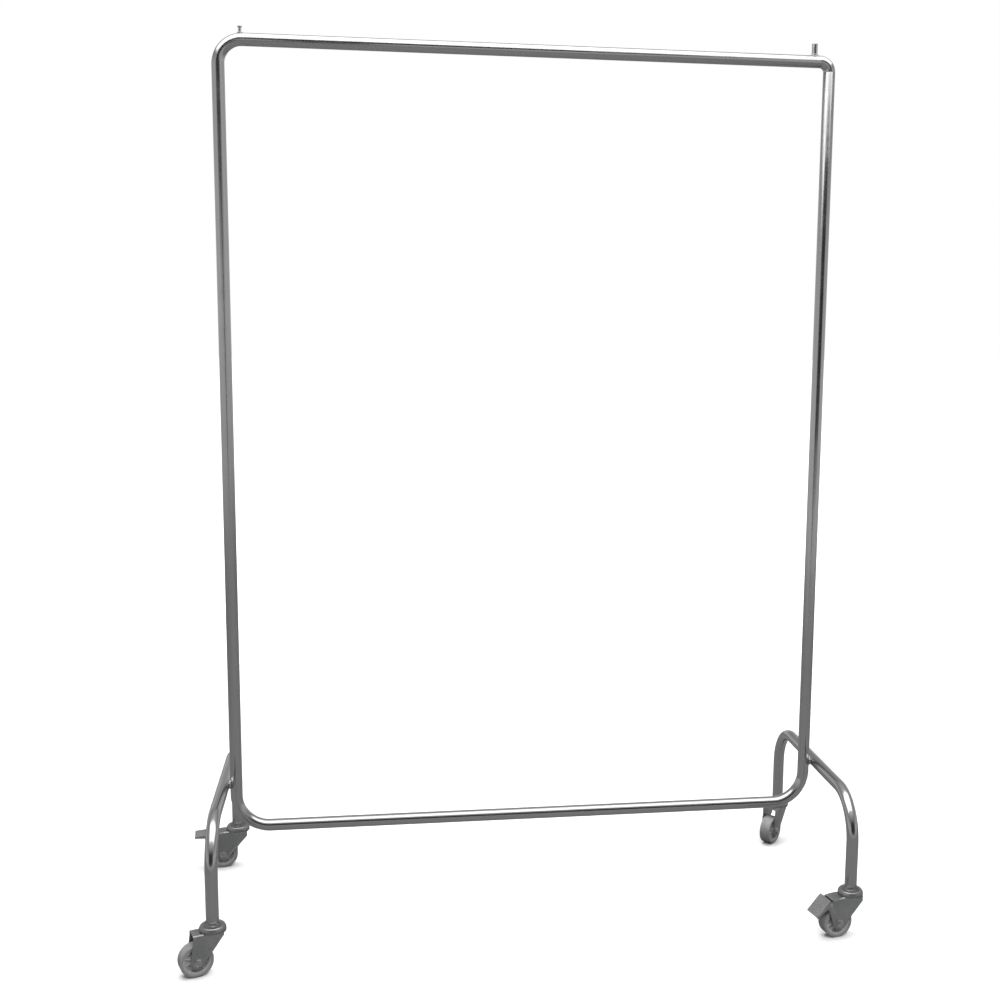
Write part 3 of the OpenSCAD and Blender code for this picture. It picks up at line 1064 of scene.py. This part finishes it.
class RACK_OT_turn_stems(bpy.types.Operator):
    """Turns the stems: threaded shank, hexagon shoulder and king pin from one bar."""

    bl_idname = "rack.turn_stems"
    bl_label = "Turn stems"

    def execute(self, context):
        pitch = sizes().thread_pitch / MM
        for caster in CASTERS:
            low, high = (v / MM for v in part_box(caster + "_stem"))
            top, end = high.z, low.z
            floor, shoulder = 91.0, LEG_END / MM
            pin_r, nut_thread, leg_thread_r, leg_pitch = 3.98, 9.0, 5.0, 1.5
            shape = [(0, end), (3.2, end), (3.95, end + 0.8)]
            shape += thread(AXLE_PIN_R, end + 0.9, end + nut_thread, pitch, 0.35)
            shape += [(pin_r, end + nut_thread + 0.2), (pin_r, floor), (6.3, floor)]
            shape += [hexagon(floor + 0.2), hexagon(shoulder, 0.001), (6.2, shoulder), (4.9, shoulder)]
            shape += thread(leg_thread_r, shoulder + 0.3, top - 0.8, leg_pitch, 0.4)
            shape += [(4.1, top), (0, top)]
            data = skin("turned_stem_" + caster, lathe(shape))
            look, at = finish("bright plated bar"), caster_frame(caster)
            place(data.name, data, caster + "_stem", look, at, 30)
        return {"FINISHED"}


class RACK_OT_press_races(bpy.types.Operator):
    """Presses the dished upper races, which stand over the forks."""

    bl_idname = "rack.press_races"
    bl_label = "Press upper races"

    def execute(self, context):
        bore, seat_r, skirt_r, rim_r = 4.05, 13.0, 23.0, 26.0
        under, track, skirt, floor, crest = 88.5, 90.8, 87.2, 91.0, 96.5
        # (radius, height, rounding), from the bore's underside out and back over the top
        outline = [
            (bore, under, 0.1),
            (seat_r, under, 0.2),
            (seat_r, track - 0.5, 0.2),
            (16.0, track, 0.6),
            (20.0, track, 0.6),
            (skirt_r, track - 0.5, 0.3),
            (skirt_r, skirt, 0.2),
            (rim_r, skirt, 0.7),
            (rim_r, floor, 2.6),
            (23.3, crest, 2.4),
            (18.5, crest, 1.6),
            (17.0, crest - 1.3, 1.6),
            (13.6, floor + 0.1, 1.6),
            (bore, floor, 0.1),
        ]
        for caster in CASTERS:
            shape = [(p.x, p.y) for p in eased(outline, 0.5, steps=7)]
            data = skin("dished_race_" + caster, lathe(shape, 96), joined=True)
            look, at = finish("satin zinc plate"), caster_frame(caster)
            place(data.name, data, caster + "_top_race", look, at)
        return {"FINISHED"}


class RACK_OT_fit_bearings(bpy.types.Operator):
    """Finishes the balls, lower races and king nuts of the swivels."""

    bl_idname = "rack.fit_bearings"
    bl_label = "Fit swivel bearings"

    def execute(self, context):
        for caster in CASTERS:
            paint(caster + "_balls", finish("bright plated bar"))
        ease_edges(paint("lower_races", finish("plain turned steel")), 0.3 * MM)
        ease_edges(paint("king_nuts", finish("plated fastener")), 0.4 * MM)
        return {"FINISHED"}


class RACK_OT_fold_forks(bpy.types.Operator):
    """Rounds and finishes the folded sheet forks."""

    bl_idname = "rack.fold_forks"
    bl_label = "Fold forks"

    def execute(self, context):
        for caster in CASTERS:
            fork = paint(caster + "_fork", finish("satin zinc plate"))
            ease_edges(fork, sizes().pressed_edge)
        return {"FINISHED"}


class RACK_OT_fit_axles(bpy.types.Operator):
    """Makes the axle bolts and nuts, with chamfered hexagons and rolled threads."""

    bl_idname = "rack.fit_axles"
    bl_label = "Fit axles"

    def execute(self, context):
        pitch = sizes().thread_pitch / MM
        head, nut, spare = 5.0, 6.0, 2.0
        # a washer face under each hexagon, as (radius, distance from the cheek)
        flange = ((8.2, 0), (8.4, 0.3), (8.3, 0.9), (7.6, 1.3))
        for caster in CASTERS:
            at = caster_frame(caster) @ Matrix.Translation((TRAIL, 0, AXLE_Z)) @ across()
            look = finish("plated fastener")
            end = -CHEEK - nut - spare
            shape = [(0, end), (3.1, end), (3.9, end + 0.7)]
            shape += thread(AXLE_PIN_R, end + 0.8, -CHEEK + 2, pitch, 0.35)
            shape += [(AXLE_PIN_R, -CHEEK + 2.2), (AXLE_PIN_R, CHEEK)]
            shape += [(r, CHEEK + out) for r, out in flange]
            shape += [hexagon(CHEEK + 1.35), hexagon(CHEEK + head, 0.001)]
            shape += [(6.1, CHEEK + head), (4.8, CHEEK + head - 0.5), (0, CHEEK + head - 0.5)]
            data = skin("axle_bolt_" + caster, lathe(shape))
            place(data.name, data, caster + "_axle_bolt", look, at, 30)
            outer = -CHEEK - nut
            shape = [(4.05, -CHEEK)] + [(r, -CHEEK - out) for r, out in flange]
            shape += [hexagon(-CHEEK - 1.35), hexagon(outer + 1.4, 0.001, up=-1)]
            shape += [(6.0, outer + 1.3), (5.7, outer + 0.3)]
            shape += [(5.3, outer), (4.5, outer), (4.1, outer + 0.5)]
            data = skin("axle_nut_" + caster, lathe(shape), joined=True)
            place(data.name, data, caster + "_axle_nut", look, at, 30)
            paint(caster + "_axle_sleeve", finish("plain turned steel"))
        return {"FINISHED"}


def core_ribs(hub, rim, count, web):
    """Thin radial ribs on both faces of a wheel core, with rounded tops."""
    rise, half, thin = 4.2, 1.3, 0.8
    mesh = bmesh.new()
    for side in (-1, 1):
        base, crown = side * (web - 0.5), side * (web + rise)
        # (radius, height of the rib's top): it climbs at the hub and at the rim
        tops = ((hub - 0.5, crown + side * 2.0), (hub + 3, crown))
        tops += ((rim - 3, crown), (rim - 0.4, crown + side))
        for k in range(count):
            turn = Matrix.Rotation(TAU * (k + 0.5) / count, 4, "Z")
            rows = []
            for r, top in tops:
                low = top - side * 0.5
                section = ((-half, base), (-thin, low), (-thin * 0.4, top))
                section += tuple((-y, z) for y, z in reversed(section))
                rows.append([mesh.verts.new(turn @ Vector((r, y, z))) for y, z in section])
            for a, b in zip(rows, rows[1:]):
                for i in range(6):
                    mesh.faces.new((a[i], a[(i + 1) % 6], b[(i + 1) % 6], b[i]))
            mesh.faces.new(rows[0])
            mesh.faces.new(list(reversed(rows[-1])))
    bmesh.ops.recalc_face_normals(mesh, faces=mesh.faces)
    return mesh


def both_sides(half):
    """A closed outline from the points of one side, repeated on the other side of the middle."""
    return half + [(r, -z, ease) for r, z, ease in reversed(half)]


class RACK_OT_mould_wheels(bpy.types.Operator):
    """Moulds the wheel cores, with hub, web and ribs, and the tyres round them."""

    bl_idname = "rack.mould_wheels"
    bl_label = "Mould wheels"

    def execute(self, context):
        wheel_r, tyre_depth = AXLE_Z, 6
        rim = wheel_r - tyre_depth
        bore, hub, hub_half, rim_half, tyre_half = 6.06, 10.0, 14.5, 11.5, 13.0
        # (radius, height, rounding)
        core = both_sides(
            [
                (bore, -hub_half, 0.4),
                (hub, -hub_half, 0.9),
                (hub + 0.9, -4.4, 1.6),
                (rim - 4.4, -4.0, 1.8),
                (rim - 2.9, -rim_half, 0.8),
                (rim, -rim_half, 0.1),
            ]
        )
        tyre = both_sides(
            [
                (rim, -tyre_half + 0.6, 0.2),
                (rim + 1.2, -tyre_half, 0.6),
                (rim + 2.4, -tyre_half, 0.5),
                (wheel_r, -tyre_half + 0.4, 3.6),
                (wheel_r, -0.35, 0.1),
                (wheel_r - 0.12, -0.2, 0.1),
            ]
        )
        for caster in CASTERS:
            at = caster_frame(caster) @ Matrix.Translation((TRAIL, 0, AXLE_Z)) @ across()
            shape = [(p.x, p.y) for p in eased(core, 0.5)]
            data = skin("wheel_core_" + caster, lathe(shape, 96), joined=True)
            whole = core_ribs(hub + 0.3, rim - 3, 10, 3.9)
            whole.from_mesh(data)
            whole.to_mesh(data)
            whole.free()
            look = finish("grey wheel plastic")
            place(data.name, data, caster + "_wheel_core", look, at)
            shape = [(p.x, p.y) for p in eased(tyre, 0.5, steps=7)]
            data = skin("tyre_" + caster, lathe(shape, 128), joined=True)
            look = finish("grey tyre rubber")
            place(data.name, data, caster + "_tread", look, at)
        return {"FINISHED"}


class RACK_OT_press_pedals(bpy.types.Operator):
    """Rounds the brake pedals' pressed edges and turns the headed pins they swing on."""

    bl_idname = "rack.press_pedals"
    bl_label = "Press pedals"

    def execute(self, context):
        for caster in BRAKED:
            pedal = paint(caster + "_brake_pedal", finish("satin zinc plate"))
            ease_edges(pedal, sizes().pressed_edge)
            # one end of the pin and its domed head, as (radius, distance from the middle)
            end = ((0, 21.8), (3.2, 21.8), (4.4, 21.2), (4.5, 20.4), (2.5, 20.3))
            shape = [(r, -out) for r, out in end] + list(reversed(end))
            pivot = Vector(joint(caster + "_pedal_press")["pos_m"])
            local = caster_frame(caster).inverted() @ pivot
            at = caster_frame(caster) @ Matrix.Translation((local.x, 0, local.z)) @ across()
            data = skin("pedal_rivet_" + caster, lathe(shape, 48))
            look = finish("plated fastener")
            place(data.name, data, caster + "_pedal_pin", look, at, 30)
        return {"FINISHED"}


# ---- stage ----


def softbox(name, at, aim, width, height, power, mirrored=False):
    """A soft rectangular light off camera. A mirrored one only shows in reflections."""
    light = bpy.data.lights.new(name, "AREA")
    light.shape = "RECTANGLE"
    light.size, light.size_y = width, height
    light.energy = power
    holder = bpy.data.objects.new(name, light)
    holder.location = at
    holder.rotation_euler = (Vector(aim) - Vector(at)).to_track_quat("-Z", "Y").to_euler()
    holder.visible_camera = False
    holder.visible_glossy = mirrored
    holder.visible_diffuse = not mirrored
    bpy.context.scene.collection.objects.link(holder)


def dark_flag(at, width, height):
    """A dark upright sheet behind the camera, which only reflections see."""
    sheet = bmesh.new()
    x, z = width / 2, height / 2
    corners = ((-x, 0, -z), (-x, 0, z), (x, 0, z), (x, 0, -z))
    sheet.faces.new([sheet.verts.new(corner) for corner in corners])
    data = bpy.data.meshes.new("dark_flag")
    sheet.to_mesh(data)
    sheet.free()
    flag = bpy.data.objects.new("dark_flag", data)
    material = bpy.data.materials.new("dark studio cloth")
    material.use_nodes = True
    shader = material.node_tree.nodes["Principled BSDF"]
    shader.inputs["Base Color"].default_value = (0.03, 0.03, 0.03, 1)
    shader.inputs["Roughness"].default_value = 0.9
    data.materials.append(material)
    flag.location = at
    for ray in ("camera", "diffuse", "shadow", "transmission"):
        setattr(flag, "visible_" + ray, False)
    bpy.context.scene.collection.objects.link(flag)


def floor_finish():
    """Pale floor for the camera, which stays white to the horizon, and mid grey in reflections."""
    material = bpy.data.materials.new("pale studio floor")
    material.use_nodes = True
    tree = material.node_tree
    shader = tree.nodes["Principled BSDF"]
    shader.inputs["Roughness"].default_value = 0.9
    shader.inputs["Specular IOR Level"].default_value = 0.0
    shader.inputs["Emission Strength"].default_value = 1.0
    camera_ray = tree.nodes.new("ShaderNodeLightPath").outputs["Is Camera Ray"]
    place_on = tree.nodes.new("ShaderNodeTexCoord").outputs["Object"]
    reach = tree.nodes.new("ShaderNodeVectorMath")
    reach.operation = "LENGTH"
    tree.links.new(place_on, reach.inputs[0])
    far = band(tree, reach.outputs["Value"], 1.0, 4.5)
    grain = noise_node(tree, place_on, 30.0, 4.0)
    pale = mixed(tree, grain, 0.90, 0.96)
    tree.links.new(mixed(tree, camera_ray, 0.19, pale), shader.inputs["Base Color"])
    beyond = band(tree, reach.outputs["Value"], 2.5, 9.0)
    glow = mixed(tree, camera_ray, mixed(tree, beyond, 0.0, 0.42), mixed(tree, far, 0.0, 1.0))
    tree.links.new(glow, shader.inputs["Emission Color"])
    return material


def grey_ramp(tree, value, levels):
    """Greys along a value from 0 to 1."""
    ramp = tree.nodes.new("ShaderNodeValToRGB")
    stops = ramp.color_ramp
    stops.interpolation = "EASE"
    while len(stops.elements) < len(levels):
        stops.elements.new(0.5)
    for stop, (at, grey) in zip(stops.elements, levels):
        stop.position = at
        stop.color = (grey, grey, grey, 1)
    tree.links.new(value, ramp.inputs[0])
    return ramp.outputs[0]


def mixed(tree, share, a, b):
    """Mixes two colours; each is a socket or a grey."""
    mix = tree.nodes.new("ShaderNodeMix")
    mix.data_type = "RGBA"
    for socket, value in zip([s for s in mix.inputs if s.type == "RGBA"], (a, b)):
        if isinstance(value, float):
            socket.default_value = (value, value, value, 1)
        else:
            tree.links.new(value, socket)
    tree.links.new(share, mix.inputs["Factor"])
    return next(s for s in mix.outputs if s.type == "RGBA")


def room():
    """White for the camera. Reflections see a mid-grey room with a dark front wall."""
    world = bpy.data.worlds.new("studio")
    bpy.context.scene.world = world
    world.use_nodes = True
    tree = world.node_tree
    rays = tree.nodes.new("ShaderNodeLightPath")
    way = tree.nodes.new("ShaderNodeTexCoord")
    split = tree.nodes.new("ShaderNodeSeparateXYZ")
    tree.links.new(way.outputs["Generated"], split.inputs[0])
    half_up = math_node(tree, "MULTIPLY_ADD", split.outputs["Z"], 0.5)
    half_up.node.inputs[2].default_value = 0.5
    walls = grey_ramp(tree, half_up, WALL_GREYS)
    front = grey_ramp(tree, half_up, FRONT_GREYS)
    level = math_node(tree, "POWER", split.outputs["Z"], 2.0)
    rest = math_node(tree, "MAXIMUM", math_node(tree, "SUBTRACT", 1.0, level), 0.0001)
    flat = math_node(tree, "SQRT", rest)
    ahead = math_node(tree, "DIVIDE", math_node(tree, "MULTIPLY", split.outputs["Y"], -1.0), flat)
    seen = mixed(tree, band(tree, ahead, 0.72, 0.93), walls, front)
    colour = mixed(tree, rays.outputs["Is Camera Ray"], seen, 1.0)
    tree.links.new(colour, tree.nodes["Background"].inputs["Color"])


class RACK_OT_set_stage(bpy.types.Operator):
    """Lays the floor and sets up the lights and the camera."""

    bl_idname = "rack.set_stage"
    bl_label = "Set stage"

    def execute(self, context):
        values = context.scene.rack_stage
        half = values.floor_size / 2
        sheet = bmesh.new()
        bmesh.ops.create_grid(sheet, x_segments=8, y_segments=8, size=half)
        data = bpy.data.meshes.new("studio_floor")
        sheet.to_mesh(data)
        sheet.free()
        floor = bpy.data.objects.new("studio_floor", data)
        floor.data.materials.append(floor_finish())
        context.scene.collection.objects.link(floor)
        room()
        key = values.key_power
        softbox("key", at=(0.6, -3.6, 3.9), aim=(0, 0, 0.7), width=3.4, height=1.5, power=key)
        softbox("overhead", at=(0.0, 0.6, 4.6), aim=(0, 0, 0), width=5.0, height=4.0, power=1.6 * key)
        softbox(
            "ceiling_panel",
            at=(0, -0.75, 3.0),
            aim=(0, -0.75, 0),
            width=5.0,
            height=2.7,
            power=values.panel_power,
            mirrored=True,
        )
        dark_flag(at=(-0.33, -3.0, 1.35), width=0.5, height=1.5)
        camera_data = bpy.data.cameras.new("camera")
        camera_data.lens = values.lens
        camera_data.sensor_width = 36
        camera_data.shift_x, camera_data.shift_y = CAMERA_SHIFT
        camera = bpy.data.objects.new("camera", camera_data)
        camera.location = CAMERA_AT
        camera.rotation_euler = [math.radians(angle) for angle in CAMERA_TURN]
        context.scene.collection.objects.link(camera)
        context.scene.camera = camera
        context.scene.view_settings.view_transform = "Standard"
        return {"FINISHED"}


PIECES = (
    RACK_OT_bend_loop,
    RACK_OT_bend_leg_hoops,
    RACK_OT_lay_welds,
    RACK_OT_turn_pegs,
    RACK_OT_fit_plugs,
    RACK_OT_turn_stems,
    RACK_OT_press_races,
    RACK_OT_fit_bearings,
    RACK_OT_fold_forks,
    RACK_OT_fit_axles,
    RACK_OT_mould_wheels,
    RACK_OT_press_pedals,
    RACK_OT_set_stage,
)


class RACK_PT_pieces(bpy.types.Panel):
    """Lists the steps that build the rack."""

    bl_idname = "RACK_PT_pieces"
    bl_label = "Clothes Rack"
    bl_space_type = "VIEW_3D"
    bl_region_type = "UI"
    bl_category = "Clothes Rack"

    def draw(self, context):
        for step in PIECES:
            self.layout.operator(step.bl_idname)
        scene = context.scene
        for values in (scene.rack_sizes, scene.rack_finish, scene.rack_stage):
            box = self.layout.box()
            for name in values.__annotations__:
                box.prop(values, name)


CLASSES = (RackSizes, RackFinish, RackStage, *PIECES, RACK_PT_pieces)


def register():
    for cls in CLASSES:
        bpy.utils.register_class(cls)
    bpy.types.Scene.rack_sizes = PointerProperty(type=RackSizes)
    bpy.types.Scene.rack_finish = PointerProperty(type=RackFinish)
    bpy.types.Scene.rack_stage = PointerProperty(type=RackStage)


def unregister():
    del bpy.types.Scene.rack_sizes, bpy.types.Scene.rack_finish, bpy.types.Scene.rack_stage
    for cls in reversed(CLASSES):
        bpy.utils.unregister_class(cls)


def main():
    register()
    for step in PIECES:
        category, name = step.bl_idname.split(".")
        getattr(getattr(bpy.ops, category), name)()


if __name__ == "__main__":
    main()
